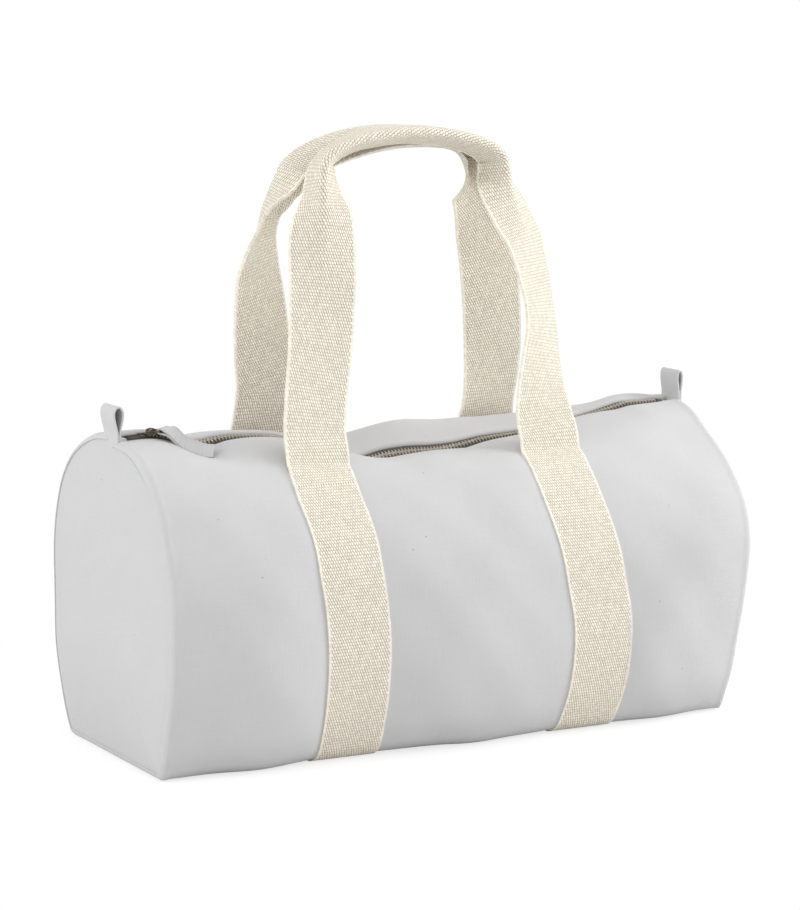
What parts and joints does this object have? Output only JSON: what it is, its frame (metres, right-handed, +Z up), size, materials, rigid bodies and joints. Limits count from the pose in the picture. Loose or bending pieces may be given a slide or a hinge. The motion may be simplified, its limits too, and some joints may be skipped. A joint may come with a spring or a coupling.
{
  "type": "barrel bag",
  "caption": "Soft canvas barrel bag with a metal zip along the top, webbing straps that run on as carrying handles, and a small loop at each end.",
  "frame": {"origin": "middle of the underside, on the surface that the bag stands on", "axes": "+X along the barrel from the closed slider's end, front towards -Y, +Z up"},
  "size_m": [0.4918, 0.2367, 0.4661],
  "materials": {
    "canvas": "pale cool-grey cotton canvas",
    "binding": "grey cotton binding tape",
    "webbing": "ecru cotton webbing",
    "zip_tape": "pale grey woven zip tape",
    "zip_metal": "antique bronze",
    "pull_metal": "dark antique bronze"
  },
  "bodies": {
    "bag": {"main_panel": "canvas", "left_back_rim": "canvas", "right_back_rim": "canvas", "left_end_panel": "canvas", "right_end_panel": "canvas", "left_seam_binding": "binding", "right_seam_binding": "binding", "left_body_strap": "webbing", "right_body_strap": "webbing", "front_zip_tape": "zip_tape", "front_zip_teeth": "zip_metal", "front_top_stop": "zip_metal", "bottom_stop": "zip_metal"},
    "back_wall": {"back_mouth_panel": "canvas", "back_left_strap": "webbing", "back_right_strap": "webbing", "back_zip_tape": "zip_tape", "back_zip_teeth": "zip_metal", "back_top_stop": "zip_metal"},
    "front_carry": {"front_handle": "webbing"},
    "back_carry": {"back_handle": "webbing"},
    "slider": {"zip_slider": "pull_metal"},
    "ring": {"pull_ring": "pull_metal"},
    "pull": {"canvas_pull": "canvas"},
    "left_eye": {"left_loop": "canvas"},
    "right_eye": {"right_loop": "canvas"}
  },
  "joints": [
    {"name": "zip_slide", "type": "slide", "parent": "bag", "child": "slider", "axis": [1, 0, 0], "range_m": [0, 0.4316], "deforming": ["front_zip_teeth", "back_zip_teeth", "back_zip_tape"]},
    {"name": "mouth_open", "type": "hinge", "parent": "bag", "child": "back_wall", "pos_m": [0, 0.113, 0.1185], "axis": [-1, 0, 0], "range_deg": [0, 26]},
    {"name": "ring_lift", "type": "hinge", "parent": "slider", "child": "ring", "pos_m": [-0.211, 0, 0.2418], "axis": [-0.7071, -0.7071, 0], "range_deg": [0, 100]},
    {"name": "pull_swing", "type": "hinge", "parent": "ring", "child": "pull", "pos_m": [-0.20397, -0.00703, 0.24285], "axis": [-0.7071, -0.7071, 0], "range_deg": [0, 75]},
    {"name": "front_handle_fold", "type": "hinge", "parent": "bag", "child": "front_carry", "pos_m": [0, -0.0618, 0.22457], "axis": [1, 0, 0], "range_deg": [0, 115]},
    {"name": "back_handle_fold", "type": "hinge", "parent": "back_wall", "child": "back_carry", "pos_m": [0, 0.0618, 0.22457], "axis": [-1, 0, 0], "range_deg": [0, 115]},
    {"name": "left_loop_flex", "type": "hinge", "parent": "bag", "child": "left_eye", "pos_m": [-0.2413, 0, 0.2415], "axis": [0, -1, 0], "range_deg": [-45, 85], "stiffness_Nm_per_rad": 0.003},
    {"name": "right_loop_flex", "type": "hinge", "parent": "bag", "child": "right_eye", "pos_m": [0.2413, 0, 0.2415], "axis": [0, 1, 0], "range_deg": [-20, 85], "stiffness_Nm_per_rad": 0.003}
  ],
  "couplings": [
    {"joint": "mouth_open", "follows": "zip_slide", "rad_per_m": 1.0514},
    {"joint": "ring_lift", "follows": "zip_slide", "rad_per_m": 4.0439}
  ]
}
